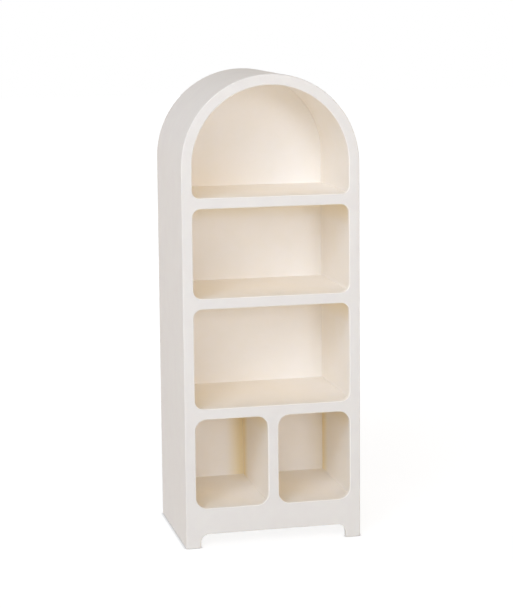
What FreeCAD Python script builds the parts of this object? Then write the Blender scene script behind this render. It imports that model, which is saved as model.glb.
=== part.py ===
"""A miniature bookcase with an arched top: a routed face frame on a carcass of thin boards, glued and pinned.

Millimetres. The front looks along -Y and +Z is up. The origin is on the floor, under the bookcase's middle.
"""

import FreeCAD
import Part
import Sketcher

import math
import os

# The driving dimensions: the alias of the cell, its value, and what it measures on the bookcase.
DIMENSIONS = [
    ("overall_width", 70.0, "over the outer faces of the two side boards"),
    ("overall_depth", 52.0, "from the front of the face frame to the back of the back panel"),
    ("frame_thickness", 2.0, "face frame, front to back"),
    ("side_thickness", 2.0, "side boards, and the two plies of the arch together"),
    ("shelf_thickness", 2.0, "all four shelves"),
    ("divider_thickness", 2.0, "upright between the two cubbies"),
    ("back_thickness", 2.0, "back panel"),
    ("outer_ply_thickness", 1.0, "outer of the two bent plies of the arch"),
    ("rim_width", 4.2, "face frame beside and over the openings"),
    ("rail_width", 4.2, "level bars of the face frame between the openings"),
    ("mullion_width", 4.2, "upright bar of the face frame between the cubbies"),
    ("foot_width", 5.9, "each front foot, below the apron"),
    ("apron_gap", 5.3, "from the floor to the underside of the apron"),
    ("plinth_height", 15.6, "from the floor to the lower edge of the cubby openings"),
    ("cubby_height", 35.1, "openings of the two cubbies"),
    ("lower_niche_height", 38.8, "opening of the wide niche over the cubbies"),
    ("middle_niche_height", 34.4, "opening of the wide niche under the arched one"),
    ("arch_straight_height", 11.5, "straight part of the arched opening's sides"),
    ("apron_corner_radius", 3.4, "where the apron curves down into the feet"),
    ("cubby_corner_radius", 4.4, "corners of the cubby openings"),
    ("niche_corner_radius", 3.3, "corners of the two wide openings"),
    ("arch_corner_radius", 2.7, "lower corners of the arched opening"),
    ("edge_radius", 0.4, "sanded edges that the hand meets"),
    ("shelf_drop", 0.8, "from a rail's upper edge down to the shelf behind it"),
    ("housing_depth", 0.7, "grooves that the ends of shelves and divider stand in"),
    ("housing_clearance", 0.1, "how much wider a groove is than the board in it"),
    ("outer_leg_length", 6.0, "straight ends of the outer ply, lapped over the side boards"),
    ("inner_leg_length", 1.5, "straight ends of the inner ply, standing on the side boards"),
    ("pin_diameter", 0.6, "headless steel pins"),
    ("pin_length", 8.0, "headless steel pins"),
    ("filler_depth", 0.3, "filler and paint over a pin that is punched under the surface"),
    ("pin_spread_deep", 30.0, "between the two pins in the end of a board, front to back"),
    ("pin_spread_wide", 32.0, "between the two pins in the long edge of a shelf"),
    ("glue_block_width", 3.5, "square glue blocks in the corners under the bottom shelf"),
    ("glue_block_height", 8.0, "the same blocks, from top to bottom"),
]

# Planes that several pieces share, seen from above: the left half, because the right half mirrors it.
LEFT = "(-sizes.overall_width / 2)"
PLY_INSIDE = f"({LEFT} + sizes.outer_ply_thickness)"
SIDE_MIDDLE = f"({LEFT} + sizes.side_thickness / 2)"
SIDE_INSIDE = f"({LEFT} + sizes.side_thickness)"
RIM_INSIDE = f"({LEFT} + sizes.rim_width)"
SHELF_END = f"({SIDE_INSIDE} - sizes.housing_depth)"
FRONT = "(-sizes.overall_depth / 2)"
FRAME_BACK = f"({FRONT} + sizes.frame_thickness)"
BACK = "(sizes.overall_depth / 2)"
PANEL_FRONT = f"({BACK} - sizes.back_thickness)"

# The lower and the upper edge of each opening in the face frame, stacked up from the floor.
CUBBY_FLOOR = "sizes.plinth_height"
CUBBY_TOP = f"({CUBBY_FLOOR} + sizes.cubby_height)"
LOWER_FLOOR = f"({CUBBY_TOP} + sizes.rail_width)"
LOWER_TOP = f"({LOWER_FLOOR} + sizes.lower_niche_height)"
MIDDLE_FLOOR = f"({LOWER_TOP} + sizes.rail_width)"
MIDDLE_TOP = f"({MIDDLE_FLOOR} + sizes.middle_niche_height)"
ARCH_FLOOR = f"({MIDDLE_TOP} + sizes.rail_width)"
SPRING = f"({ARCH_FLOOR} + sizes.arch_straight_height)"

# Each shelf, with the lower edge of the opening that it is the floor of.
SHELVES = {
    "bottom_shelf": CUBBY_FLOOR,
    "lower_shelf": LOWER_FLOOR,
    "middle_shelf": MIDDLE_FLOOR,
    "arch_shelf": ARCH_FLOOR,
}

# The planes that the heads and the tips of the pins lie in.
SIDE_PIN_HEAD = f"({LEFT} + sizes.filler_depth)"
SIDE_PIN_TIP = f"({SIDE_PIN_HEAD} + sizes.pin_length)"
FRAME_PIN_HEAD = f"({FRONT} + sizes.filler_depth)"
FRAME_PIN_TIP = f"({FRAME_PIN_HEAD} + sizes.pin_length)"
BACK_PIN_HEAD = f"({BACK} - sizes.filler_depth)"
BACK_PIN_TIP = f"({BACK_PIN_HEAD} - sizes.pin_length)"

# The divider stands in a groove in the bottom shelf and in one in the lower shelf.
GROOVE_FLOOR = "(sizes.shelf_thickness - sizes.housing_depth)"

# How each kind of straight side is held in a sketch: its direction, and the distance that places it.
STRAIGHT_SIDES = {"upright": ("Vertical", "DistanceX"), "level": ("Horizontal", "DistanceY")}

ROUNDING = 1e-6

doc = FreeCAD.newDocument("miniature_bookcase")
sizes = doc.addObject("Spreadsheet::Sheet", "sizes")


def fill_sheet():
    """One row for each driving dimension: its name, its value and its meaning."""
    for row, (alias, value, meaning) in enumerate(DIMENSIONS, start=1):
        sizes.set(f"A{row}", alias)
        sizes.set(f"B{row}", str(value))
        sizes.set(f"C{row}", meaning)
        sizes.setAlias(f"B{row}", alias)
    doc.recompute()


def size(expression):
    """The present value of an expression of the sheet's cells."""
    return float(sizes.evalExpression(expression))


def opposite(expression):
    """The same distance on the other side of the origin."""
    return f"(-{expression})"


def pair(spread):
    """Two places, one each side of the middle."""
    return [f"(-{spread} / 2)", f"({spread} / 2)"]


def depth(front, back):
    """How far it is from one plane to the one behind it."""
    return f"({back} - {front})"


def underside(floor_edge):
    """Height of the underside of the shelf behind an opening's lower edge."""
    return f"({floor_edge} - sizes.shelf_drop - sizes.shelf_thickness)"


def near(first, second):
    """Whether two places are the same but for rounding."""
    return abs(first - second) < ROUNDING


# Sketches: lines, arcs and circles, each tied to the sheet.


def new_sketch(body, name, plane, offset="0"):
    """A sketch on one of the body's own origin planes, or on a plane beside it.

    The offset runs along the plane's normal: +Z for XY_Plane, -Y for XZ_Plane and +X for YZ_Plane.
    """
    sketch = body.newObject("Sketcher::SketchObject", f"{body.Name}_{name}")
    origin_plane = next(feature for feature in body.Origin.OriginFeatures if feature.Role == plane)
    sketch.AttachmentSupport = [(origin_plane, "")]
    sketch.MapMode = "FlatFace"
    sketch.setExpression("AttachmentOffset.Base.z", offset)
    return sketch


def front_sketch(body, name, y):
    """A sketch in the upright plane at that y, with X across and Z up."""
    return new_sketch(body, name, "XZ_Plane", opposite(y))


def bind(sketch, name, expression, kind, *where):
    """A dimension of the sketch, tied to an expression of the sheet's cells."""
    index = sketch.addConstraint(Sketcher.Constraint(kind, *where, size(expression)))
    sketch.renameConstraint(index, name)
    sketch.setExpression(f"Constraints.{name}", expression)


def meeting_point(side, following):
    """Where two neighbouring sides of an outline meet: one of the two is always upright."""
    places = {kind: size(place) for kind, place, _ in (side, following)}
    across = places.pop("upright")
    return FreeCAD.Vector(across, *places.values(), 0)


def half_circle(start, end):
    """The upper half of a circle, from its right end to its left one."""
    circle = Part.Circle((start + end) / 2, FreeCAD.Vector(0, 0, 1), (start - end).Length / 2)
    return Part.ArcOfCircle(circle, 0, math.pi)


def corner_arc(corner, way_in, way_out, radius):
    """A quarter circle that turns left from one way to the next."""
    centre = corner - way_in * radius + way_out * radius
    start = math.atan2(-way_out.y, -way_out.x)
    return Part.ArcOfCircle(Part.Circle(centre, FreeCAD.Vector(0, 0, 1), radius), start, start + math.pi / 2)


def outline(sketch, sides):
    """A closed outline, drawn anticlockwise.

    Each side is (kind, place, radius). An "upright" side is a line at that distance across, and a "level" one
    is a line at that distance up. An "arch" is a half circle between two upright sides, and its place is the
    height of its centre. The radius rounds the corner after the side, and None leaves it as it is.
    """
    count = len(sides)
    ends = [meeting_point(sides[i], sides[(i + 1) % count]) for i in range(count)]
    ways = [(ends[i] - ends[i - 1]).normalize() for i in range(count)]
    radii = [0.0 if radius is None else size(radius) for _, _, radius in sides]
    edges = []
    for i, (kind, place, _) in enumerate(sides):
        start = ends[i - 1] + ways[i] * radii[i - 1]
        end = ends[i] - ways[i] * radii[i]
        if kind == "arch":
            edge = sketch.addGeometry(half_circle(start, end))
            bind(sketch, f"side{i}", place, "DistanceY", -1, 1, edge, 3)
        else:
            edge = sketch.addGeometry(Part.LineSegment(start, end))
            direction, distance = STRAIGHT_SIDES[kind]
            sketch.addConstraint(Sketcher.Constraint(direction, edge))
            bind(sketch, f"side{i}", place, distance, -1, 1, edge, 1)
        edges.append(edge)
    for i, (kind, _, radius) in enumerate(sides):
        following = (i + 1) % count
        if radius is not None:
            arc = sketch.addGeometry(corner_arc(ends[i], ways[i], ways[following], radii[i]))
            bind(sketch, f"corner{i}", radius, "Radius", arc)
            sketch.addConstraint(Sketcher.Constraint("Tangent", edges[i], 2, arc, 1))
            sketch.addConstraint(Sketcher.Constraint("Tangent", arc, 2, edges[following], 1))
        else:
            joint = "Tangent" if "arch" in (kind, sides[following][0]) else "Coincident"
            sketch.addConstraint(Sketcher.Constraint(joint, edges[i], 2, edges[following], 1))
    return sketch


def rectangle(left, right, bottom, top, lower_radius=None, upper_radius=None):
    """The sides of an upright rectangle, with its lower and its upper corners rounded or sharp."""
    return [
        ("level", bottom, lower_radius),
        ("upright", right, upper_radius),
        ("level", top, upper_radius),
        ("upright", left, lower_radius),
    ]


def arched(left, bottom, lower_radius=None):
    """The sides of a centred outline with a half-round top, which springs where the bookcase's arch does."""
    return [
        ("level", bottom, lower_radius),
        ("upright", opposite(left), None),
        ("arch", SPRING, None),
        ("upright", left, lower_radius),
    ]


def pin_circles(sketch, centres):
    """A circle of a pin's size at each centre. The holes are no wider, because the pins are driven in."""
    for number, (across, up) in enumerate(centres):
        centre = FreeCAD.Vector(size(across), size(up), 0)
        radius = size("sizes.pin_diameter / 2")
        circle = sketch.addGeometry(Part.Circle(centre, FreeCAD.Vector(0, 0, 1), radius))
        bind(sketch, f"across{number}", across, "DistanceX", -1, 1, circle, 3)
        bind(sketch, f"up{number}", up, "DistanceY", -1, 1, circle, 3)
        bind(sketch, f"diameter{number}", "sizes.pin_diameter", "Diameter", circle)
    return sketch


# Features.


def new_body(name):
    """An empty body, labelled with its piece's name."""
    body = doc.addObject("PartDesign::Body", name)
    body.Label = name
    return body


def pad(body, sketch, length, along=True):
    """Material from the sketch along its plane's normal, or against it where along is False."""
    feature = body.newObject("PartDesign::Pad", f"{sketch.Name}_pad")
    feature.Profile = sketch
    feature.setExpression("Length", length)
    feature.Reversed = not along
    doc.recompute()


def pocket(body, sketch, length=None, along=True):
    """Cuts the sketch out along its plane's normal, or against it, for a length or else right through."""
    before = body.Shape.Volume
    feature = body.newObject("PartDesign::Pocket", f"{sketch.Name}_pocket")
    feature.Profile = sketch
    feature.Reversed = along
    if length is None:
        feature.Type = "ThroughAll"
    else:
        feature.setExpression("Length", length)
    doc.recompute()
    if body.Shape.Volume > before - ROUNDING:
        raise RuntimeError(f"{feature.Name} cuts nothing")


def under_outside(point):
    """Whether a point is on the floor, in the outside face of a side."""
    return near(point.z, 0) and near(abs(point.x), -size(LEFT))


def ease(body, chosen):
    """Sands the edges whose ends are all at chosen points."""
    solid = body.Tip
    names = []
    for number, edge in enumerate(solid.Shape.Edges, start=1):
        points = [vertex.Point for vertex in edge.Vertexes]
        if all(map(chosen, points)):
            names.append(f"Edge{number}")
    feature = body.newObject("PartDesign::Fillet", f"{body.Name}_eased")
    feature.Base = (solid, names)
    feature.setExpression("Radius", "sizes.edge_radius")
    doc.recompute()


def mirrored(name, source):
    """The right-hand piece that mirrors a left-hand one."""
    piece = doc.addObject("Part::Mirroring", name)
    piece.Label = name
    piece.Source = source
    piece.Normal = FreeCAD.Vector(1, 0, 0)


# Where the pins are, as centres in the plane that they cross.


def shelf_middles():
    """Height of the middle of each shelf's thickness."""
    return [f"({underside(floor_edge)} + sizes.shelf_thickness / 2)" for floor_edge in SHELVES.values()]


def side_pin_centres():
    """Two pins through a side board into the end of each shelf."""
    return [(y, z) for z in shelf_middles() for y in pair("sizes.pin_spread_deep")]


def shelf_edge_pin_centres():
    """Two pins into the long edge of each shelf, from the face frame or from the back panel."""
    return [(x, z) for z in shelf_middles() for x in pair("sizes.pin_spread_wide")]


def side_edge_pin_heights():
    """One pin into a side board's edge, halfway up each opening but the arched one."""
    openings = [(CUBBY_FLOOR, CUBBY_TOP), (LOWER_FLOOR, LOWER_TOP), (MIDDLE_FLOOR, MIDDLE_TOP)]
    return [f"(({floor_edge} + {top_edge}) / 2)" for floor_edge, top_edge in openings]


def frame_pin_centres():
    """All the pins that hold the face frame."""
    sides = [(x, z) for z in side_edge_pin_heights() for x in (SIDE_MIDDLE, opposite(SIDE_MIDDLE))]
    return shelf_edge_pin_centres() + sides


def divider_pin_centres():
    """Two pins through a shelf into the divider's end."""
    return [("0", y) for y in pair("sizes.pin_spread_deep")]


# Pieces.


def make_face_frame():
    """One routed sheet with five openings, and an apron that curves down into two feet."""
    body = new_body("face_frame")
    blank = front_sketch(body, "blank", FRAME_BACK)
    pad(body, outline(blank, arched(LEFT, "0")), "sizes.frame_thickness")
    mullion_side = "(-sizes.mullion_width / 2)"
    foot_side = f"({LEFT} + sizes.foot_width)"
    wide = (RIM_INSIDE, opposite(RIM_INSIDE))
    wide_corners = ("sizes.niche_corner_radius", "sizes.niche_corner_radius")
    cubby = (CUBBY_FLOOR, CUBBY_TOP, "sizes.cubby_corner_radius", "sizes.cubby_corner_radius")
    openings = {
        "arched_opening": arched(RIM_INSIDE, ARCH_FLOOR, "sizes.arch_corner_radius"),
        "middle_opening": rectangle(*wide, MIDDLE_FLOOR, MIDDLE_TOP, *wide_corners),
        "lower_opening": rectangle(*wide, LOWER_FLOOR, LOWER_TOP, *wide_corners),
        "left_cubby": rectangle(RIM_INSIDE, mullion_side, *cubby),
        "right_cubby": rectangle(opposite(mullion_side), opposite(RIM_INSIDE), *cubby),
        "apron": rectangle(
            foot_side, opposite(foot_side), "0", "sizes.apron_gap", None, "sizes.apron_corner_radius"
        ),
    }
    for name, sides in openings.items():
        pocket(body, outline(front_sketch(body, name, FRAME_BACK), sides))
    holes = pin_circles(front_sketch(body, "pin_holes", FRAME_PIN_HEAD), frame_pin_centres())
    pocket(body, holes, along=False)
    ease(body, lambda point: near(point.y, size(FRONT)) or under_outside(point))


def make_side_boards():
    """The left board, lapped for the outer ply, grooved for the shelves and rebated for the back panel."""
    body = new_body("left_side_board")
    across = (FRAME_BACK, BACK)
    board = new_sketch(body, "board", "YZ_Plane", LEFT)
    outline(board, rectangle(*across, "0", f"({SPRING} - sizes.inner_leg_length)"))
    pad(body, board, "sizes.side_thickness")
    lap = new_sketch(body, "lap", "YZ_Plane", LEFT)
    outline(lap, rectangle(*across, f"({SPRING} - sizes.outer_leg_length)", SPRING))
    pocket(body, lap, "sizes.outer_ply_thickness")
    for shelf, floor_edge in SHELVES.items():
        top = f"({underside(floor_edge)} + sizes.shelf_thickness + sizes.housing_clearance)"
        groove = new_sketch(body, f"{shelf}_groove", "YZ_Plane", SIDE_INSIDE)
        outline(groove, rectangle(FRAME_BACK, PANEL_FRONT, underside(floor_edge), top))
        pocket(body, groove, "sizes.housing_depth", along=False)
    rebate = new_sketch(body, "rebate", "YZ_Plane", SIDE_INSIDE)
    outline(rebate, rectangle(PANEL_FRONT, BACK, "0", SPRING))
    pocket(body, rebate, "sizes.side_thickness - sizes.outer_ply_thickness", along=False)
    shelf_holes = new_sketch(body, "shelf_pin_holes", "YZ_Plane", SIDE_PIN_HEAD)
    pocket(body, pin_circles(shelf_holes, side_pin_centres()))
    frame_holes = front_sketch(body, "frame_pin_holes", FRAME_PIN_TIP)
    pocket(body, pin_circles(frame_holes, [(SIDE_MIDDLE, z) for z in side_edge_pin_heights()]))
    ease(body, lambda point: near(point.x, size(LEFT)) and (near(point.y, size(BACK)) or near(point.z, 0)))
    mirrored("right_side_board", body)


def make_arch():
    """Two thin plies, bent one inside the other, with their ends staggered over the side boards."""
    outer = new_body("outer_arch_ply")
    outer_foot = f"({SPRING} - sizes.outer_leg_length)"
    pad(outer, outline(front_sketch(outer, "round", BACK), arched(LEFT, outer_foot)), depth(FRAME_BACK, BACK))
    pocket(outer, outline(front_sketch(outer, "hollow", BACK), arched(PLY_INSIDE, "0")))
    ease(outer, lambda point: near(abs(point.x), -size(LEFT)) and near(point.y, size(BACK)))
    inner = new_body("inner_arch_ply")
    inner_foot = f"({SPRING} - sizes.inner_leg_length)"
    round_sketch = outline(front_sketch(inner, "round", PANEL_FRONT), arched(PLY_INSIDE, inner_foot))
    pad(inner, round_sketch, depth(FRAME_BACK, PANEL_FRONT))
    pocket(inner, outline(front_sketch(inner, "hollow", PANEL_FRONT), arched(SIDE_INSIDE, "0")))


def make_back_panel():
    """One arched sheet, let in flush between the side boards and under the outer ply."""
    body = new_body("back_panel")
    pad(body, outline(front_sketch(body, "panel", BACK), arched(PLY_INSIDE, "0")), "sizes.back_thickness")
    holes = pin_circles(front_sketch(body, "pin_holes", BACK_PIN_HEAD), shelf_edge_pin_centres())
    pocket(body, holes)


def make_shelf(name, floor_edge):
    """A board whose ends stand in the side boards' grooves, with pins into all four edges."""
    body = new_body(name)
    board = new_sketch(body, "board", "XY_Plane")
    outline(board, rectangle(SHELF_END, opposite(SHELF_END), FRAME_BACK, PANEL_FRONT))
    pad(body, board, "sizes.shelf_thickness")
    middle = "(sizes.shelf_thickness / 2)"
    end_pins = [(y, middle) for y in pair("sizes.pin_spread_deep")]
    edge_pins = [(x, middle) for x in pair("sizes.pin_spread_wide")]
    left = new_sketch(body, "left_pin_holes", "YZ_Plane", SIDE_PIN_TIP)
    pocket(body, pin_circles(left, end_pins), along=False)
    right = new_sketch(body, "right_pin_holes", "YZ_Plane", opposite(SIDE_PIN_TIP))
    pocket(body, pin_circles(right, end_pins))
    pocket(body, pin_circles(front_sketch(body, "frame_pin_holes", FRAME_PIN_TIP), edge_pins))
    pocket(body, pin_circles(front_sketch(body, "back_pin_holes", BACK_PIN_TIP), edge_pins), along=False)
    body.setExpression("Placement.Base.z", underside(floor_edge))
    return body


def add_divider_groove(shelf, start, hole_length):
    """A groove across the middle of a shelf, front to back, and the holes of the divider's pins."""
    half_width = "((sizes.divider_thickness + sizes.housing_clearance) / 2)"
    groove = new_sketch(shelf, "divider_groove", "XY_Plane", start)
    outline(groove, rectangle(opposite(half_width), half_width, FRAME_BACK, PANEL_FRONT))
    pocket(shelf, groove, "sizes.housing_depth")
    holes = new_sketch(shelf, "divider_pin_holes", "XY_Plane")
    pocket(shelf, pin_circles(holes, divider_pin_centres()), hole_length)


def make_shelves():
    """Four shelves, of which the two lowest hold the divider between them."""
    shelves = {name: make_shelf(name, floor_edge) for name, floor_edge in SHELVES.items()}
    add_divider_groove(shelves["bottom_shelf"], GROOVE_FLOOR, "sizes.shelf_thickness")
    add_divider_groove(shelves["lower_shelf"], "0", "(sizes.shelf_thickness - sizes.filler_depth)")


def make_divider():
    """The upright board between the cubbies, with its ends in the grooves of two shelves."""
    body = new_body("centre_divider")
    foot = f"({underside(CUBBY_FLOOR)} + {GROOVE_FLOOR})"
    height = f"({underside(LOWER_FLOOR)} + sizes.housing_depth - {foot})"
    board = new_sketch(body, "board", "XY_Plane")
    outline(board, rectangle(*pair("sizes.divider_thickness"), FRAME_BACK, PANEL_FRONT))
    pad(body, board, height)
    lower = new_sketch(body, "lower_pin_holes", "XY_Plane", f"(sizes.pin_length - {GROOVE_FLOOR})")
    pocket(body, pin_circles(lower, divider_pin_centres()), along=False)
    upper_depth = f"(sizes.pin_length - {GROOVE_FLOOR} + sizes.filler_depth)"
    upper = new_sketch(body, "upper_pin_holes", "XY_Plane", f"({height} - {upper_depth})")
    pocket(body, pin_circles(upper, divider_pin_centres()))
    body.setExpression("Placement.Base.z", foot)


def make_glue_blocks():
    """Four square blocks under the bottom shelf, in the corners of the carcass."""
    rear = f"({PANEL_FRONT} - sizes.glue_block_width)"
    for end, y in (("front", FRAME_BACK), ("rear", rear)):
        block = doc.addObject("Part::Box", f"{end}_left_glue_block")
        block.Label = block.Name
        block.setExpression("Length", "sizes.glue_block_width")
        block.setExpression("Width", "sizes.glue_block_width")
        block.setExpression("Height", "sizes.glue_block_height")
        block.setExpression("Placement.Base.x", SIDE_INSIDE)
        block.setExpression("Placement.Base.y", y)
        block.setExpression("Placement.Base.z", f"{underside(CUBBY_FLOOR)} - sizes.glue_block_height")
        mirrored(f"{end}_right_glue_block", block)


def make_pins():
    """Five groups of headless pins, each driven from one side of the bookcase."""
    side = new_body("left_side_pins")
    side_sketch = new_sketch(side, "pins", "YZ_Plane", SIDE_PIN_HEAD)
    pad(side, pin_circles(side_sketch, side_pin_centres()), "sizes.pin_length")
    mirrored("right_side_pins", side)
    frame = new_body("face_frame_pins")
    frame_sketch = front_sketch(frame, "pins", FRAME_PIN_HEAD)
    pad(frame, pin_circles(frame_sketch, frame_pin_centres()), "sizes.pin_length", along=False)
    back = new_body("back_panel_pins")
    back_sketch = front_sketch(back, "pins", BACK_PIN_HEAD)
    pad(back, pin_circles(back_sketch, shelf_edge_pin_centres()), "sizes.pin_length")
    divider = new_body("divider_pins")
    lower = new_sketch(divider, "lower_pins", "XY_Plane", underside(CUBBY_FLOOR))
    pad(divider, pin_circles(lower, divider_pin_centres()), "sizes.pin_length")
    upper_head = f"({underside(LOWER_FLOOR)} + sizes.shelf_thickness - sizes.filler_depth)"
    upper = new_sketch(divider, "upper_pins", "XY_Plane", upper_head)
    pad(divider, pin_circles(upper, divider_pin_centres()), "sizes.pin_length", along=False)


# Checks and files.


def subparts():
    """The pieces: bodies, boxes and mirrored pieces."""
    kinds = ("PartDesign::Body", "Part::Box", "Part::Mirroring")
    return [piece for piece in doc.Objects if piece.TypeId in kinds]


def check_document():
    """Stops where an object has failed or a piece has no sound shape."""
    for thing in doc.Objects:
        if "Invalid" in thing.State or "Error" in thing.State:
            raise RuntimeError(f"{thing.Name} is {thing.State}")
    for piece in subparts():
        if piece.Shape.isNull() or not piece.Shape.isValid() or piece.Shape.Volume <= 0:
            raise RuntimeError(f"{piece.Label} has no sound shape")


def write_parts():
    """One STEP file for each piece, in the folder parts."""
    os.makedirs("parts", exist_ok=True)
    for piece in subparts():
        piece.Shape.exportStep(f"parts/{piece.Label}.step")
        box = piece.Shape.optimalBoundingBox()
        print(f"{piece.Label}: {len(piece.Shape.Solids)} solids, {piece.Shape.Volume:.1f} cubic mm, "
              f"{box.XLength:.1f} x {box.YLength:.1f} x {box.ZLength:.1f}")


fill_sheet()
make_face_frame()
make_side_boards()
make_arch()
make_back_panel()
make_shelves()
make_divider()
make_glue_blocks()
make_pins()
doc.recompute()
check_document()
write_parts()
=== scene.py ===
# %% [markdown]
# # A miniature bookcase
# A dolls house bookcase 18 cm tall: a carcass of thin boards with a round top, behind a flat
# face frame with soft openings, all painted in one off-white. CAD holds the pieces at their
# real size. What is left for Blender is what a painter does: fill the corners, brush and spray
# the coats, and set it in soft light. Some light and shade are also painted into the colour: a
# darker copy of the off-white on the lit outside, and darker, yellower corners in the niches.
#
# Everything is in metres, with +Z up and the open front towards -Y.

import math

import bmesh
import bpy
import numpy as np
from mathutils import Matrix, Vector


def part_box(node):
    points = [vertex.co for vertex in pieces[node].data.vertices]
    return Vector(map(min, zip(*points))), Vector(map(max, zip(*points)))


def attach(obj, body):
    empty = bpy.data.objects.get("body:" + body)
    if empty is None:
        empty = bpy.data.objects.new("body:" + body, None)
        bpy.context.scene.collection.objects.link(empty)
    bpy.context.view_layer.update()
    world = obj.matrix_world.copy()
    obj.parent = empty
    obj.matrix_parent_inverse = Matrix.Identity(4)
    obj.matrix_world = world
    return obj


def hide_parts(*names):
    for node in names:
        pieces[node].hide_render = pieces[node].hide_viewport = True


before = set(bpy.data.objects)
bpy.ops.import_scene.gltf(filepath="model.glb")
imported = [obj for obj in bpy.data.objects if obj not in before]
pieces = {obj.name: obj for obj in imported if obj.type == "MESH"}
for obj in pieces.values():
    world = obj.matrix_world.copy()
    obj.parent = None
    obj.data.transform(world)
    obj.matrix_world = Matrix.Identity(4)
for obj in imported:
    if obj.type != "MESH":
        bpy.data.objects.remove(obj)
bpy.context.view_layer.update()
MM = 0.001

# %% Planes that several steps share
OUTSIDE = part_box("outer_arch_ply")[1].x
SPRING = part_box("outer_arch_ply")[1].z - OUTSIDE
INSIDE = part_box("right_side_board")[0].x
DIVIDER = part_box("centre_divider")[1].x
FRAME_FRONT, FRAME_BACK = (corner.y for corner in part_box("face_frame"))
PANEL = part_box("back_panel")[0].y
SHELVES = ("bottom_shelf", "lower_shelf", "middle_shelf", "arch_shelf")
LEVELS = [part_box(shelf) for shelf in SHELVES]
FLOORS = [high.z for low, high in LEVELS]
CEILINGS = [low.z for low, high in LEVELS[1:]]
print(f"Floors at {[round(floor / MM, 1) for floor in FLOORS]} mm")
print(f"The arch springs at {SPRING / MM:.1f} mm, {OUTSIDE / MM:.1f} mm to each side")

# %% [markdown]
# ## Adding nodes
# A material is a small network, and typing it out socket by socket hides what it does. One
# helper adds a node, sets its properties and unlinked inputs by name, and links the rest. Math
# and Mix nodes have several inputs of the same name, so there a number takes the name's place.
# Colours are written as the hex codes that a paint chart gives, for paint and light alike.
# Blender mixes light in linear values, so another helper turns one into the other.

# %% Two helpers for every material
MIX_A, MIX_B, MIXED = 6, 7, 2  # the colour inputs of a Mix node, and its colour output


def add_node(tree, kind, settings=None, links=None):
    """One node: settings are its properties or the values of its inputs, and links give an
    input its (node, output), by name or by number."""
    node = tree.nodes.new(kind)
    for name, value in (settings or {}).items():
        if isinstance(name, int) or name in node.inputs:
            node.inputs[name].default_value = value
        else:
            setattr(node, name, value)
    for name, (source, output) in (links or {}).items():
        tree.links.new(source.outputs[output], node.inputs[name])
    return node


def linear(code):
    """RGBA in linear light from an sRGB hex code: c / 12.92 up to 0.04045, and above it
    ((c + 0.055) / 1.055) to the power 2.4."""
    srgb = np.array([int(code[i:i + 2], 16) for i in (1, 3, 5)]) / 255
    rgb = np.where(srgb <= 0.04045, srgb / 12.92, ((srgb + 0.055) / 1.055) ** 2.4)
    return (*rgb.tolist(), 1.0)


print("Half grey on the chart is", [round(value, 3) for value in linear("#808080")[:3]])

# %% [markdown]
# ## Streaks
# A brush, a saw and a wire-drawing die all leave the same kind of mark: fine across, and long
# in the direction that they went. A picture of such marks would repeat, and its seams would
# show where boards meet. Noise that is stretched along one axis does neither, and both of its
# sizes can be set in millimetres.

# %% One pattern for brush marks, grain and drawing lines
AXES = "XYZ"
LAYERS = 3.0  # levels of finer noise inside the noise
SOFT_STEP = (0.3, 0.7)


def stretched_noise(tree, place, width, length, axis):
    """Noise whose features are width across and length along the axis: the place is divided
    by the length along that axis, and by the width along the other two."""
    scale = [1 / width] * 3
    scale[AXES.index(axis)] = 1 / length
    along = add_node(tree, "ShaderNodeMapping", {"Scale": scale}, {"Vector": place})
    settings = {"Scale": 1.0, "Detail": LAYERS}
    return add_node(tree, "ShaderNodeTexNoise", settings, {"Vector": (along, "Vector")})


def new_material(name):
    """An empty material, its network and its output node."""
    material = bpy.data.materials.new(name)
    material.use_nodes = True
    material.node_tree.nodes.clear()
    return material, material.node_tree, add_node(material.node_tree, "ShaderNodeOutputMaterial")


def two_colours(tree, noise, thin, full):
    """The two colours, shared out by the noise with a SOFT_STEP between them."""
    ramp = add_node(tree, "ShaderNodeValToRGB", {}, {"Fac": (noise, "Fac")})
    for stop, position, colour in zip(ramp.color_ramp.elements, SOFT_STEP, (thin, full)):
        stop.position = position
        stop.color = linear(colour)
    return ramp


# %% [markdown]
# ## Painted shade in the corners
# The niches were painted with a brush. Under each shelf, and in the upright corners of the two
# small cubbies, the niches are in deepest shade, and that shade is painted into the colour: a
# darker, yellower tone is mixed into the paint there. This could be painted by hand on each
# board, but every such place is known from the planes above: a number that is 1 there and 0
# elsewhere is worked out from where a point is.

# %% Painted shade in the corners
SHADE_BELOW_SHELF = 12 * MM
SHADE_BESIDE_DIVIDER = 8 * MM
SHADE_AT_BACK = 10 * MM


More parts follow.
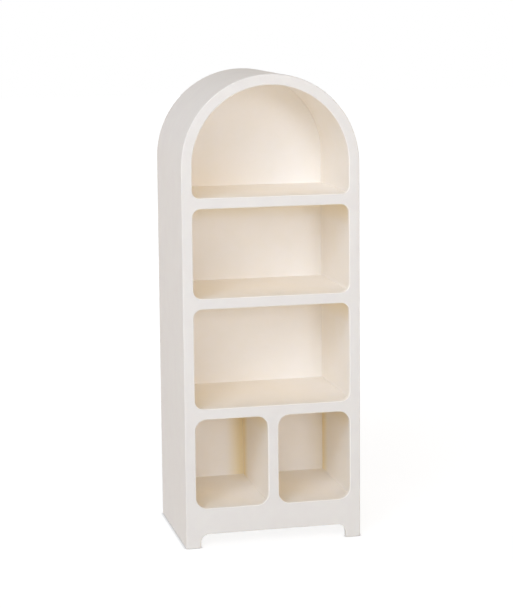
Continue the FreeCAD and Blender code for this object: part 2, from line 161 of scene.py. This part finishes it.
def painted_corner_shade(tree, place, corners):
    """Painted shade: 1 at a ceiling, falling to 0 a set depth under it, and in the cubbies 1 at an
    upright corner, falling softly to 0 away from it. On the back panel, corners is "X" and they
    stand at the divider. On an upright board it is "Y", and they stand at the back."""
    split = add_node(tree, "ShaderNodeSeparateXYZ", {}, {"Vector": place})
    rise = add_node(tree, "ShaderNodeMath", {"operation": "DIVIDE", 1: SPRING}, {0: (split, "Z")})
    under = add_node(tree, "ShaderNodeValToRGB", {}, {"Fac": (rise, 0)})
    stops = under.color_ramp.elements
    stops[0].color = stops[1].color = (0, 0, 0, 1)
    unshaded_stops = [(height, 0) for height in FLOORS]
    unshaded_stops += [(height - SHADE_BELOW_SHELF, 0) for height in CEILINGS]
    for height, grey in unshaded_stops + [(height, 1) for height in CEILINGS]:
        stops.new(height / SPRING).color = (grey, grey, grey, 1)
    step = {"interpolation_type": "SMOOTHSTEP"}
    if corners == "Y":
        step |= {"From Min": PANEL - SHADE_AT_BACK, "From Max": PANEL}
        beside = add_node(tree, "ShaderNodeMapRange", step, {"Value": (split, "Y")})
    else:
        step |= {"From Min": DIVIDER + SHADE_BESIDE_DIVIDER, "From Max": DIVIDER}
        away = add_node(tree, "ShaderNodeMath", {"operation": "ABSOLUTE"}, {0: (split, "X")})
        beside = add_node(tree, "ShaderNodeMapRange", step, {"Value": (away, 0)})
    in_cubby = {"operation": "LESS_THAN", 1: CEILINGS[0]}
    low = add_node(tree, "ShaderNodeMath", in_cubby, {0: (split, "Z")})
    both = {0: (beside, "Result"), 1: (low, 0)}
    there = add_node(tree, "ShaderNodeMath", {"operation": "MULTIPLY"}, both)
    either = {0: (under, "Color"), 1: (there, 0)}
    return add_node(tree, "ShaderNodeMath", {"operation": "MAXIMUM"}, either)


# The sizes of the painted corner shade: below a shelf, beside the divider and at the back.
corner_shade_sizes = [round(size / MM) for size in (SHADE_BELOW_SHELF, SHADE_BESIDE_DIVIDER, SHADE_AT_BACK)]
print(f"Thin paint below a shelf, beside the divider and at the back: {corner_shade_sizes} mm")

# %% [markdown]
# ## A darker copy outside, a lighter one inside
# The off-white is one paint, but it is given in two copies, by where the light falls: a greyer,
# darker copy on the outside, which the lamps light straight on, and a lighter, creamier one in
# the shaded niches. That is painted shade on the lit faces and painted light in the niches. The
# darker copy covers the outer half of the sides and the back, and the front of the face frame.
# The rounded edges of the openings keep the lighter copy, a fine painted highlight along each
# opening, but the outer edge of the frame doesn't. Two materials with faces assigned to each
# would do it too, but the pieces come from CAD with no such faces marked, so the border is drawn
# from distances.

# %% Distances that tell the outside from the inside


def from_middle(tree, place, axis):
    """How far a place is from the middle of the bookcase along an axis, either way."""
    split = add_node(tree, "ShaderNodeSeparateXYZ", {}, {"Vector": place})
    return add_node(tree, "ShaderNodeMath", {"operation": "ABSOLUTE"}, {0: (split, axis)})


def from_centre_line(tree, place):
    """How far a place is from the upright line in the middle, or from its upper end: the
    square root of x squared + (z - SPRING) squared, without the second under SPRING."""
    split = add_node(tree, "ShaderNodeSeparateXYZ", {}, {"Vector": place})
    over = add_node(tree, "ShaderNodeMath", {"operation": "SUBTRACT", 1: SPRING}, {0: (split, "Z")})
    raised = add_node(tree, "ShaderNodeMath", {"operation": "MAXIMUM", 1: 0.0}, {0: (over, 0)})
    flat = add_node(tree, "ShaderNodeCombineXYZ", {}, {"X": (split, "X"), "Z": (raised, 0)})
    return add_node(tree, "ShaderNodeVectorMath", {"operation": "LENGTH"}, {0: (flat, 0)})


print(f"On the outline, both the side and the arch are {OUTSIDE / MM:.0f} mm away")

# %% The border of the darker outside copy
OUTER_EDGE = 0.9 * MM
# From this far behind the front face, the rounded edges of the openings keep the lighter copy: a
# fine painted highlight, on a rounding that is real.
LIGHT_EDGE_SETBACK = 0.03 * MM


def darker_outside_mask(tree, place, axis, distance):
    """1 where the greyer, darker outside copy goes, painted shade on the lit faces: further than
    the distance from the middle along the axis, or within OUTER_EDGE of the outline."""
    beyond = {"operation": "GREATER_THAN", 1: distance}
    facing = add_node(tree, "ShaderNodeMath", beyond, {0: (from_middle(tree, place, axis), 0)})
    edge = {"operation": "GREATER_THAN", 1: OUTSIDE - OUTER_EDGE}
    out = from_centre_line(tree, place)
    round_it = add_node(tree, "ShaderNodeMath", edge, {0: (out, "Value")})
    either = {0: (facing, 0), 1: (round_it, 0)}
    return add_node(tree, "ShaderNodeMath", {"operation": "MAXIMUM"}, either)


def middle(node, axis):
    """How far the middle of a node is from the middle of the bookcase, along an axis."""
    low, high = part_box(node)
    return abs(low[AXES.index(axis)] + high[AXES.index(axis)]) / 2


side_split = ("X", middle("left_side_board", "X"))
back_split = ("Y", middle("back_panel", "Y"))
frame_front = ("Y", -FRAME_FRONT - LIGHT_EDGE_SETBACK)
# Where the greyer, darker outside copy of the paint begins: painted shade on the lit faces.
for axis, distance in (side_split, back_split, frame_front):
    print(f"Sprayed beyond {distance / MM:.2f} mm along {axis}")

# %% [markdown]
# ## The paint
# Off-white furniture paint is a water-based matt enamel. It has no metal and little gloss: an
# IOR of 1.5, as any acrylic resin has, and a roughness well over a half. Its colour comes in two
# copies: a lighter, creamier one in the shaded niches, and a slightly greyer, darker one on the
# outside, which the lamps light straight on: painted light and shade.
#
# What tells paint from plain white plastic is its skin. The pigment clouds a little, over
# several millimetres. Spray dries to an orange peel about a millimetre across and a few
# thousandths of a millimetre high. A brush leaves long streaks along the board. Both are
# heights in metres here, through a Bump node, a little higher than the real ones, so that they
# still show from 75 cm away. Under each shelf and in the corners of the cubbies, where the
# niches are in deepest shade, a darker, yellower tone is mixed into the colour: painted shade.

# %% Colours and sizes of the paint's marks
# The lighter, creamier copy for the shaded inside, the greyer, darker copy for the lit outside
# (painted light and shade), and the darker, yellower tone of the painted corner shade.
LIGHTER_SHADED_INSIDE_COAT = ("#F7F2E9", "#F8F3EC")
DARKER_LIT_OUTSIDE_COAT = ("#E5E0DA", "#E7E3DC")
CORNER_SHADE_TONE = "#F4E5BE"
PAINT_IOR = 1.5
PAINT_ROUGHNESS = 0.62
CLOUD_WIDTH = 6 * MM
PEEL_WIDTH = 1.1 * MM
PEEL_HEIGHT = 0.012 * MM
PEEL_LAYERS = 2.0
STREAK_WIDTH = 1.3 * MM
STREAK_LENGTH = 40 * MM
STREAK_HEIGHT = 0.006 * MM
print(f"Peel {PEEL_WIDTH / MM:.1f} mm across, streaks {STREAK_LENGTH / MM:.0f} mm long")

# %% One function for every painted finish


def paint(
    name, coat, brush=None, outside=None, corners=None, peel=1.0, on_flat=False,
    shift=(0, 0, 0), turn=(1, 1, 1),
):
    """Matt paint: cloudy pigment, orange peel, and streaks along the brush's axis. Where those are
    given, painted shade darkens and yellows the corners, and the outside takes the greyer, darker
    copy of the colour, painted shade on lit faces. The patterns are laid out in space, or on_flat,
    as on a bent sheet before it was bent."""
    material, tree, output = new_material(name)
    here = add_node(tree, "ShaderNodeTexCoord")
    start = (here, "Object")
    if on_flat:
        sheet = {"attribute_name": "flat_sheet"}
        start = (add_node(tree, "ShaderNodeAttribute", sheet), "Vector")
    laid_out = {"Location": shift, "Scale": turn}
    place = (add_node(tree, "ShaderNodeMapping", laid_out, {"Vector": start}), "Vector")

    clouds = {"Scale": 1 / CLOUD_WIDTH, "Detail": LAYERS}
    cloud = add_node(tree, "ShaderNodeTexNoise", clouds, {"Vector": place})
    colour = (two_colours(tree, cloud, *coat), "Color")
    # Painted shade: a darker, yellower tone mixed in under each shelf and in the cubby corners.
    if corners:
        mixed = {0: (painted_corner_shade(tree, (here, "Object"), corners), 0), MIX_A: colour}
        below = {"data_type": "RGBA", MIX_B: linear(CORNER_SHADE_TONE)}
        colour = (add_node(tree, "ShaderNodeMix", below, mixed), MIXED)
    # The greyer, darker copy on the outside: painted shade on the faces that the lamps light
    # straight on.
    if outside:
        over = (two_colours(tree, cloud, *DARKER_LIT_OUTSIDE_COAT), "Color")
        there = (darker_outside_mask(tree, (here, "Object"), *outside), 0)
        mixed = {0: there, MIX_A: colour, MIX_B: over}
        colour = (add_node(tree, "ShaderNodeMix", {"data_type": "RGBA"}, mixed), MIXED)

    pebbles = {"Scale": 1 / PEEL_WIDTH, "Detail": PEEL_LAYERS}
    fine = add_node(tree, "ShaderNodeTexNoise", pebbles, {"Vector": place})
    pebbled = {"Strength": 1.0, "Distance": PEEL_HEIGHT * peel}
    skin = add_node(tree, "ShaderNodeBump", pebbled, {"Height": (fine, "Fac")})
    if brush:
        marks = stretched_noise(tree, place, STREAK_WIDTH, STREAK_LENGTH, brush)
        streaked = {"Strength": 1.0, "Distance": STREAK_HEIGHT}
        heights = {"Height": (marks, "Fac"), "Normal": (skin, "Normal")}
        skin = add_node(tree, "ShaderNodeBump", streaked, heights)

    resin = {"Roughness": PAINT_ROUGHNESS, "IOR": PAINT_IOR}
    looks = {"Base Color": colour, "Normal": (skin, "Normal")}
    enamel = add_node(tree, "ShaderNodeBsdfPrincipled", resin, looks)
    tree.links.new(enamel.outputs["BSDF"], output.inputs["Surface"])
    print(f"{name}: {len(tree.nodes)} nodes")
    return material


# %% The painted finishes
FRAME_PEEL = 1.5

# The flat face frame: an even off-white, the greyer, darker copy on its lit front as painted
# shade, and the lighter copy left on the rounded edges of the openings as a fine painted
# highlight. It has more peel than elsewhere, because this face was laid flat and got the most
# paint.
frame_paint = paint("enamel_darker_where_lit", LIGHTER_SHADED_INSIDE_COAT, outside=frame_front, peel=FRAME_PEEL)

# Side boards, brushed from top to bottom: the lighter, creamier copy with upright streaks inside,
# with painted shade under each shelf and at the back of the cubbies, and the same streaks in the
# greyer, darker copy outside, painted shade on the lit faces. On the right one, the streaks go on
# from those of the bent sheet over it.
left_paint = paint("left_side_enamel", LIGHTER_SHADED_INSIDE_COAT, "Z", side_split, "Y")
down_the_other_side = {"shift": (0, 0, 2 * SPRING + math.pi * OUTSIDE), "turn": (-1, 1, -1)}
right_paint = paint(
    "right_side_enamel", LIGHTER_SHADED_INSIDE_COAT, "Z", side_split, "Y", **down_the_other_side
)

# The back panel, brushed upright, with painted shade: darker and yellower under each shelf
# and beside the divider, and the greyer, darker copy of the colour on its outer half.
back_paint = paint("back_panel_enamel", LIGHTER_SHADED_INSIDE_COAT, "Z", back_split, "X")

# Shelves, brushed from end to end, and the divider, brushed up and down, with painted shade
# under the shelf above it and at the back of the cubbies.
shelf_paint = paint("brushed_enamel_lengthwise", LIGHTER_SHADED_INSIDE_COAT, brush="X")
divider_paint = paint("brushed_enamel_upright", LIGHTER_SHADED_INSIDE_COAT, brush="Z", corners="Y")

# The bent top: long streaks that follow the bend, in the greyer, darker copy outside, painted
# shade on the lit top, and in the lighter copy inside.
outer_paint = paint("enamel_darker_where_lit_over_brush_marks", DARKER_LIT_OUTSIDE_COAT, brush="Z", on_flat=True)
inner_paint = paint("brushed_enamel_round_the_arch", LIGHTER_SHADED_INSIDE_COAT, brush="Z", on_flat=True)

# %% [markdown]
# ## Softwood and steel
# The glue blocks under the lowest shelf were never painted. They are split from a pine lath:
# pale early wood, and a darker line of late wood for each winter, about a millimetre apart and
# running the length of the block. The pins are bits of drawn steel wire, bright, with scratches
# too fine to see, so theirs are drawn about ten times as coarse. They are all inside the
# boards, but a finish that is right costs one function.

# %% Bare pine and drawn wire
LATE_AND_EARLY_WOOD = ("#C0945C", "#E2C698")
PINE_ROUGHNESS = 0.7
RING_WIDTH = 1.1 * MM
GRAIN_LENGTH = 30 * MM
GRAIN_HEIGHT = 0.02 * MM
STEEL = ("#A9AAAB", "#B9BABA")
STEEL_ROUGHNESS = 0.35
DRAWN_WIDTH = 0.05 * MM
DRAWN_LENGTH = 3 * MM
DRAWN_HEIGHT = 0.002 * MM


def grained(name, colours, axis, width, length, height, finish):
    """A material with lines along the axis, in two colours and as a height."""
    material, tree, output = new_material(name)
    here = add_node(tree, "ShaderNodeTexCoord")
    lines = stretched_noise(tree, (here, "Object"), width, length, axis)
    colour = two_colours(tree, lines, *colours)
    ridged = {"Strength": 1.0, "Distance": height}
    raised = add_node(tree, "ShaderNodeBump", ridged, {"Height": (lines, "Fac")})
    looks = {"Base Color": (colour, "Color"), "Normal": (raised, "Normal")}
    body = add_node(tree, "ShaderNodeBsdfPrincipled", finish, looks)
    tree.links.new(body.outputs["BSDF"], output.inputs["Surface"])
    print(f"{name}: lines {width / MM:.2f} mm apart")
    return material


wood_sizes = (RING_WIDTH, GRAIN_LENGTH, GRAIN_HEIGHT)
dull = {"Roughness": PINE_ROUGHNESS}
pine = grained("bare_pine", LATE_AND_EARLY_WOOD, "Z", *wood_sizes, dull)
wire_sizes = (DRAWN_WIDTH, DRAWN_LENGTH, DRAWN_HEIGHT)
bright = {"Metallic": 1.0, "Roughness": STEEL_ROUGHNESS}
wires = {
    axis: grained(f"drawn_steel_{axis.lower()}", STEEL, axis, *wire_sizes, bright)
    for axis in AXES
}

# %% Each piece gets its finish
FINISHES = {
    "face_frame": frame_paint,
    "left_side_board": left_paint,
    "right_side_board": right_paint,
    "outer_arch_ply": outer_paint,
    "inner_arch_ply": inner_paint,
    "back_panel": back_paint,
    "shelf": shelf_paint,
    "centre_divider": divider_paint,
    "glue_block": pine,
    "side_pins": wires["X"],
    "frame_pins": wires["Y"],
    "panel_pins": wires["Y"],
    "divider_pins": wires["Z"],
}


def finish_piece(piece, material):
    """Gives every face of the piece this one material."""
    piece.data.materials.clear()
    piece.data.materials.append(material)


for name, piece in pieces.items():
    ending = next(ending for ending in FINISHES if name.endswith(ending))
    finish_piece(piece, FINISHES[ending])
    print(f"{name}: {FINISHES[ending].name}")

# %% [markdown]
# ## Sections carried along a path
# The new pieces are all of one kind: a small closed section, carried along a path. Extruding a
# curve with a bevel object would do it, but then Blender works out where the points go, and a
# pattern can't be laid along the sheet. Worked out in numpy, a section of n points at m
# stations is one array of m by n points, and its faces join each point to the next one round
# and the next one along.

# %% Faces over a grid of points


def grid_faces(stations, points, loop):
    """Quads over a grid of stations along a path and points round each, and an end face at
    each end where the path isn't a loop."""
    index = np.arange(stations * points).reshape(stations, points)
    rows = np.vstack([index, index[:1]]) if loop else index
    here, there = rows[:-1], rows[1:]
    quads = np.stack([here, np.roll(here, -1, axis=1), np.roll(there, -1, axis=1), there], axis=-1)
    ends = [] if loop else [index[0].tolist(), index[-1].tolist()]
    return quads.reshape(-1, 4).tolist() + ends


print(f"A box of two stations of four points has {len(grid_faces(2, 4, False))} faces")

# %% A closed mesh with its finish and its body
SHARP = math.radians(40)


def closed_piece(name, grids, material):
    """A piece of one closed shell for each (points, loop), with points an array of stations x
    round x 3."""
    vertices, faces = [], []
    for points, loop in grids:
        start = len(vertices)
        vertices += points.reshape(-1, 3).tolist()
        shell = grid_faces(*points.shape[:2], loop)
        faces += [[start + corner for corner in face] for face in shell]
    mesh = bpy.data.meshes.new(name)
    mesh.from_pydata(vertices, [], faces)
    outwards = bmesh.new()
    outwards.from_mesh(mesh)
    bmesh.ops.recalc_face_normals(outwards, faces=outwards.faces)
    outwards.to_mesh(mesh)
    outwards.free()
    mesh.shade_smooth()
    mesh.set_sharp_from_angle(angle=SHARP)
    piece = bpy.data.objects.new(name, mesh)
    bpy.context.scene.collection.objects.link(piece)
    finish_piece(piece, material)
    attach(piece, "root")
    print(f"{name}: {len(vertices)} points, {len(faces)} faces")
    return piece


print(f"Edges over {math.degrees(SHARP):.0f} degrees stay sharp")

# %% [markdown]
# ## The bent top
# The round top is two thin sheets of plywood, glued one inside the other over a round former.
# CAD has them as solids, which is right for their size, but a solid doesn't know which way its
# sheet ran before it was bent. The brush went up one side, over the top and down the other, so
# here each sheet is made again with that knowledge: every point keeps an attribute that says
# where it was when the sheet was flat, standing on the left side board, and the streaks are
# drawn there.

# %% The section of a bent sheet
ROUNDING_STEPS = 6
EASE = 0.4 * MM


def bent_section(thickness, front, back, ease):
    """(inset, depth) round the sheet's section: a rectangle whose outer rear corner is a
    quarter circle. One more point in front of the curve keeps its smooth shading from
    spreading over the wide flat face."""
    turn = np.linspace(0, math.pi / 2, ROUNDING_STEPS)
    rounding = np.array([[0.0, back]])
    if ease:
        rounding = np.stack([ease * (1 - np.cos(turn)), back - ease * (1 - np.sin(turn))], axis=1)
        rounding = np.vstack([[[0.0, back - 2 * ease]], rounding])
    return np.vstack([[[0.0, front]], rounding, [[thickness, back]], [[thickness, front]]])


print(f"The outer rear edge is rounded by {EASE / MM:.1f} mm")

# %% Two bent sheets
ARCH_STEPS = 120
LEG_STEPS = 4


def bent_sheet(name, node, inner, ease, material):
    """Point = base + (radius - inset) * way. On a leg the base climbs and the way is level;
    over the arch the base is its centre and the way is (-cos t, sin t), t from 0 to pi."""
    low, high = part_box(node)
    radius = high.x
    spring = high.z - radius
    leg = np.linspace(low.z, spring, LEG_STEPS, endpoint=False)
    turn = np.linspace(0, math.pi, ARCH_STEPS)
    heights = np.concatenate([leg, np.full(ARCH_STEPS, spring), leg[::-1]])
    turns = np.concatenate([np.zeros(LEG_STEPS), turn, np.full(LEG_STEPS, math.pi)])
    section = bent_section(radius - inner, low.y, high.y, ease)
    reach = radius - section[:, 0]
    size = (len(turns), len(section))
    depths = np.broadcast_to(section[:, 1], size)
    across = -np.cos(turns)[:, None] * reach
    upwards = heights[:, None] + np.sin(turns)[:, None] * reach
    points = np.stack([across, depths, upwards], axis=-1)
    sheet = closed_piece(name, [(points, False)], material)

    end = 2 * spring + math.pi * OUTSIDE
    climbed = np.concatenate([leg, spring + turn * OUTSIDE, end - leg[::-1]])
    walls = np.broadcast_to(-reach, size)
    flat = np.stack([walls, depths, np.broadcast_to(climbed[:, None], size)], axis=-1)
    layer = sheet.data.attributes.new("flat_sheet", "FLOAT_VECTOR", "POINT")
    layer.data.foreach_set("vector", flat.astype(np.float32).ravel())
    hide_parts(node)


bent_sheet("outer_arch_sheet", "outer_arch_ply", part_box("inner_arch_ply")[1].x, EASE, outer_paint)
bent_sheet("inner_arch_sheet", "inner_arch_ply", INSIDE, 0, inner_paint)

# %% [markdown]
# ## Filled corners
# Where two boards meet inside a niche, the maker draws a fine line of filler along the joint
# with a fingertip and paints over it. It leaves a hollow curve about a tenth of a millimetre
# across, which takes the hard black line out of the corner. A Bevel modifier can't make it,
# because the boards are separate pieces, so each niche gets its own filler: a line round the
# back panel, and one from front to back in each corner.

# %% The section of the filler and the outline of a niche
FILLER = 0.12 * MM
BITE = 0.05 * MM
FILLER_STEPS = 5


def filler_section():
    """(away from one wall, away from the other) round the section: a hollow quarter circle,
    and a corner that bites into both walls behind it."""
    turn = np.linspace(0, math.pi / 2, FILLER_STEPS)
    hollow = FILLER * (1 - np.stack([np.sin(turn), np.cos(turn)], axis=1))
    return np.vstack([[[FILLER, -BITE]], hollow, [[-BITE, FILLER]], [[-BITE, -BITE]]])


def niche_outline(left, right, floor, ceiling, inset):
    """(x, z) round a niche, moved inwards by the inset. With no ceiling, it has a half-round
    top over the springing."""
    left, right, floor = left + inset, right - inset, floor + inset
    if ceiling is not None:
        top = ceiling - inset
        return np.array([[left, floor], [right, floor], [right, top], [left, top]])
    turn = np.linspace(0, math.pi, ARCH_STEPS)
    arch = np.stack([right * np.cos(turn), SPRING + right * np.sin(turn)], axis=1)
    return np.vstack([[[left, floor], [right, floor]], arch])


print(f"The filler is {FILLER / MM:.2f} mm across, and {len(filler_section())} points round")

# %% Lines of filler


def fill_corners(name, left, right, floor, ceiling):
    """The filler of one niche: a loop against the back panel, and a straight line along each
    corner that runs from front to back."""
    section = filler_section()
    insets = section[:, 0]
    sides = [niche_outline(left, right, floor, ceiling, inset) for inset in insets]
    outlines = np.stack(sides, axis=1)
    depths = np.broadcast_to(PANEL - section[:, 1], outlines.shape[:2])
    grids = [(np.stack([outlines[..., 0], depths, outlines[..., 1]], axis=-1), True)]
    corners = [(left, 1, floor, 1), (right, -1, floor, 1)]
    if ceiling is not None:
        corners += [(left, 1, ceiling, -1), (right, -1, ceiling, -1)]
    for x, inwards, z, upwards in corners:
        rows = [x + inwards * insets, 0 * insets, z + upwards * section[:, 1]]
        ends = np.array([[0, FRAME_BACK, 0], [0, PANEL, 0]])
        grids.append((np.stack(rows, axis=1)[None] + ends[:, None], False))
    closed_piece(name, grids, shelf_paint)


fill_corners("left_cubby_filler", -INSIDE, -DIVIDER, FLOORS[0], CEILINGS[0])
fill_corners("right_cubby_filler", DIVIDER, INSIDE, FLOORS[0], CEILINGS[0])
fill_corners("lower_niche_filler", -INSIDE, INSIDE, FLOORS[1], CEILINGS[1])
fill_corners("middle_niche_filler", -INSIDE, INSIDE, FLOORS[2], CEILINGS[2])
fill_corners("arched_niche_filler", -INSIDE, INSIDE, FLOORS[3], None)

# %% [markdown]
# ## The floor and the white room
# The bookcase stands on a pale floor that runs into a white background with no line between
# them. A real studio lights the paper behind until it is pure white, and that light then
# spills round the object. Here the world is plain white to the camera only, and to everything
# that it lights it is a dim room in front and a bright wall behind. The floor does the same:
# it adds its own light for the camera, so that it comes out white and still keeps the shadow
# under the feet. Gloss and glass see the white too, as they would in a studio.

# %% The white room
ROOM_FRONT = "#6A6763"
ROOM_BACK = "#C2BEBD"
ROOM_BLEND = 0.4
WHITE = "#FFFFFF"


def seen_directly(tree):
    """1 where the camera, a gloss or a glass sees the surface, and 0 where it only lights
    something."""
    path = add_node(tree, "ShaderNodeLightPath")
    eyes = {0: (path, "Is Camera Ray"), 1: (path, "Is Glossy Ray")}
    gloss = add_node(tree, "ShaderNodeMath", {"operation": "MAXIMUM"}, eyes)
    through = {0: (gloss, 0), 1: (path, "Is Transmission Ray")}
    return add_node(tree, "ShaderNodeMath", {"operation": "MAXIMUM"}, through)


world = bpy.data.worlds.new("white_room")
bpy.context.scene.world = world
world.use_nodes = True
tree = world.node_tree
tree.nodes.clear()
way = add_node(tree, "ShaderNodeTexCoord")
split = add_node(tree, "ShaderNodeSeparateXYZ", {}, {"Vector": (way, "Generated")})
blend = {"interpolation_type": "SMOOTHSTEP", "From Min": -ROOM_BLEND, "From Max": ROOM_BLEND}
behind = add_node(tree, "ShaderNodeMapRange", blend, {"Value": (split, "Y")})
sides = {"data_type": "RGBA", MIX_A: linear(ROOM_FRONT), MIX_B: linear(ROOM_BACK)}
walls = add_node(tree, "ShaderNodeMix", sides, {0: (behind, "Result")})
room = add_node(tree, "ShaderNodeBackground", {"Strength": 1.0}, {"Color": (walls, MIXED)})
backdrop = add_node(tree, "ShaderNodeBackground", {"Color": linear(WHITE), "Strength": 1.0})
chosen = {0: (seen_directly(tree), 0), 1: (room, 0), 2: (backdrop, 0)}
shown = add_node(tree, "ShaderNodeMixShader", {}, chosen)
add_node(tree, "ShaderNodeOutputWorld", {}, {"Surface": (shown, 0)})
print(f"The room: {ROOM_FRONT} in front, {ROOM_BACK} behind, {WHITE} to the camera")

# %% The card on the floor
CARD_WHITE = "#F4F2EE"
CARD_GREY = "#888888"
CARD_LIFT = 0.86
LIFT_FROM = 0.1
LIFT_TO = 0.6
CONTACT = 1.5 * MM

# White card, matt and smooth. What the camera sees is a grey that keeps the shadow, and a
# glow that lifts it to white, a little less near the bookcase than far from it. Where a foot
# stands on the card, hardly any light gets in, so the glow dies out over the last millimetre,
# and a fine dark line is left under the feet.
floor_card, tree, output = new_material("white_card_floor")
card = add_node(tree, "ShaderNodeBsdfDiffuse", {"Color": linear(CARD_WHITE)})
place = add_node(tree, "ShaderNodeTexCoord")
out = add_node(tree, "ShaderNodeVectorMath", {"operation": "LENGTH"}, {0: (place, "Object")})
rising = {"From Min": LIFT_FROM, "From Max": LIFT_TO, "To Min": CARD_LIFT, "To Max": 1.0}
lift = add_node(tree, "ShaderNodeMapRange", rising, {"Value": (out, "Value")})
unhidden = add_node(tree, "ShaderNodeAmbientOcclusion", {"Distance": CONTACT})
lit = {0: (lift, "Result"), 1: (unhidden, "AO")}
strength = add_node(tree, "ShaderNodeMath", {"operation": "MULTIPLY"}, lit)
white = {"Color": linear(WHITE)}
glow = add_node(tree, "ShaderNodeEmission", white, {"Strength": (strength, 0)})
grey = add_node(tree, "ShaderNodeBsdfDiffuse", {"Color": linear(CARD_GREY)})
both = add_node(tree, "ShaderNodeAddShader", {}, {0: (grey, 0), 1: (glow, 0)})
chosen = {0: (seen_directly(tree), 0), 1: (card, 0), 2: (both, 0)}
shown = add_node(tree, "ShaderNodeMixShader", {}, chosen)
tree.links.new(shown.outputs[0], output.inputs["Surface"])
print(f"{floor_card.name}: white from {LIFT_TO} m away, darker {CONTACT / MM:.1f} mm from a foot")

# %% The floor
FLOOR_HALF = 3.0
corners = FLOOR_HALF * np.array([(-1, -1, 0), (1, -1, 0), (1, 1, 0), (-1, 1, 0)])
sheet = bpy.data.meshes.new("floor")
sheet.from_pydata(corners.tolist(), [], [(0, 1, 2, 3)])
floor = bpy.data.objects.new("floor", sheet)
bpy.context.scene.collection.objects.link(floor)
finish_piece(floor, floor_card)
print(f"The floor is {2 * FLOOR_HALF:.0f} m square")

# %% [markdown]
# ## The light
# One large softbox stands in front, to the left and above, and its cool white lights the whole
# front. A small bright patch in it gives each left edge a clearer shadow, which crosses the
# floor of its niche. Both leave the back walls dark, because little of their light gets past
# the shelves, so a weaker lamp stands near the lens and shines straight in. Two weak warm ones
# fill in, at the left and high on the right.
#
# Off-white paint sends back most of the light that falls on it, so a deep niche is lit mostly
# by its own walls: light goes from wall to wall many times before it comes out, and gets
# creamier each time. Blender stops after four such bounces, which leaves the cubbies too dark
# and too grey, so it is allowed twelve here.

# %% Softboxes
AIM = Vector((0, 0, 0.09))  # half way up the bookcase
BOUNCES = 12


def softbox(name, turn, rise, distance, side, level, colour):
    """A square area light, turned that many degrees from the front (left is positive) and
    raised that many. Its power is level x pi squared x distance squared: at level 1, a white
    card that faces it comes out white."""
    light = bpy.data.lights.new(name, "AREA")
    light.shape = "SQUARE"
    light.size = side
    light.energy = level * (math.pi * distance) ** 2
    light.color = linear(colour)[:3]
    lamp = bpy.data.objects.new(name, light)
    bpy.context.scene.collection.objects.link(lamp)
    a, e = math.radians(turn), math.radians(rise)
    way = Vector((-math.sin(a) * math.cos(e), -math.cos(a) * math.cos(e), math.sin(e)))
    lamp.location = AIM + way * distance
    lamp.rotation_euler = way.to_track_quat("Z", "Y").to_euler()
    print(f"{name}: {light.energy:.2f} W, {side} m square")


softbox("key", 31, 29, 1.5, 0.9, 0.54, "#E0EDFF")
softbox("key_middle", 36, 32, 1.5, 0.22, 0.07, "#F0F1FF")
softbox("front", -2, 10, 1.5, 0.3, 0.2, "#E3ECFF")
softbox("left_side", 90, 10, 1.2, 0.4, 0.13, "#FFEBDA")
softbox("high_right", -20, 38, 1.2, 0.4, 0.12, "#FFD161")
bpy.context.scene.cycles.diffuse_bounces = BOUNCES

# %% [markdown]
# ## The camera
# A small object looks small when a wide lens comes close to it, and like furniture when a long
# one looks from further away. This one is long, and stands 75 cm off, a little to the left of
# the front and just above the top, so that the left side shows and the shelves are seen from
# above. It looks down by a few degrees, and the lens is shifted down for the rest, as on a view
# camera, which keeps the uprights nearly parallel. Half a degree of tilt is left in, as from a
# tripod that isn't quite level.

# %% Camera
STATION = Vector((-0.1640, -0.7111, 0.2153))
TURN = math.radians(12.983)
LOOK_DOWN = math.radians(7.861)
TILT = math.radians(-0.539)
LENS = 109.96
SHIFT_UP = -0.0987

eye = bpy.data.cameras.new("camera")
eye.lens = LENS
eye.shift_y = SHIFT_UP
camera = bpy.data.objects.new("camera", eye)
bpy.context.scene.collection.objects.link(camera)
bpy.context.scene.camera = camera
level = Vector((math.sin(TURN), math.cos(TURN), 0))
ahead = level * math.cos(LOOK_DOWN) - Vector((0, 0, math.sin(LOOK_DOWN)))
right = Vector((math.cos(TURN), -math.sin(TURN), 0))
upright = right.cross(ahead)
right_tilted = right * math.cos(TILT) + upright * math.sin(TILT)
up_tilted = upright * math.cos(TILT) - right * math.sin(TILT)
turned = Matrix((right_tilted, up_tilted, -ahead)).transposed().to_4x4()
camera.matrix_world = Matrix.Translation(STATION) @ turned
print(f"The camera is {STATION.xy.length:.2f} m away, with a {LENS:.0f} mm lens")

bpy.context.scene.view_settings.view_transform = "Standard"
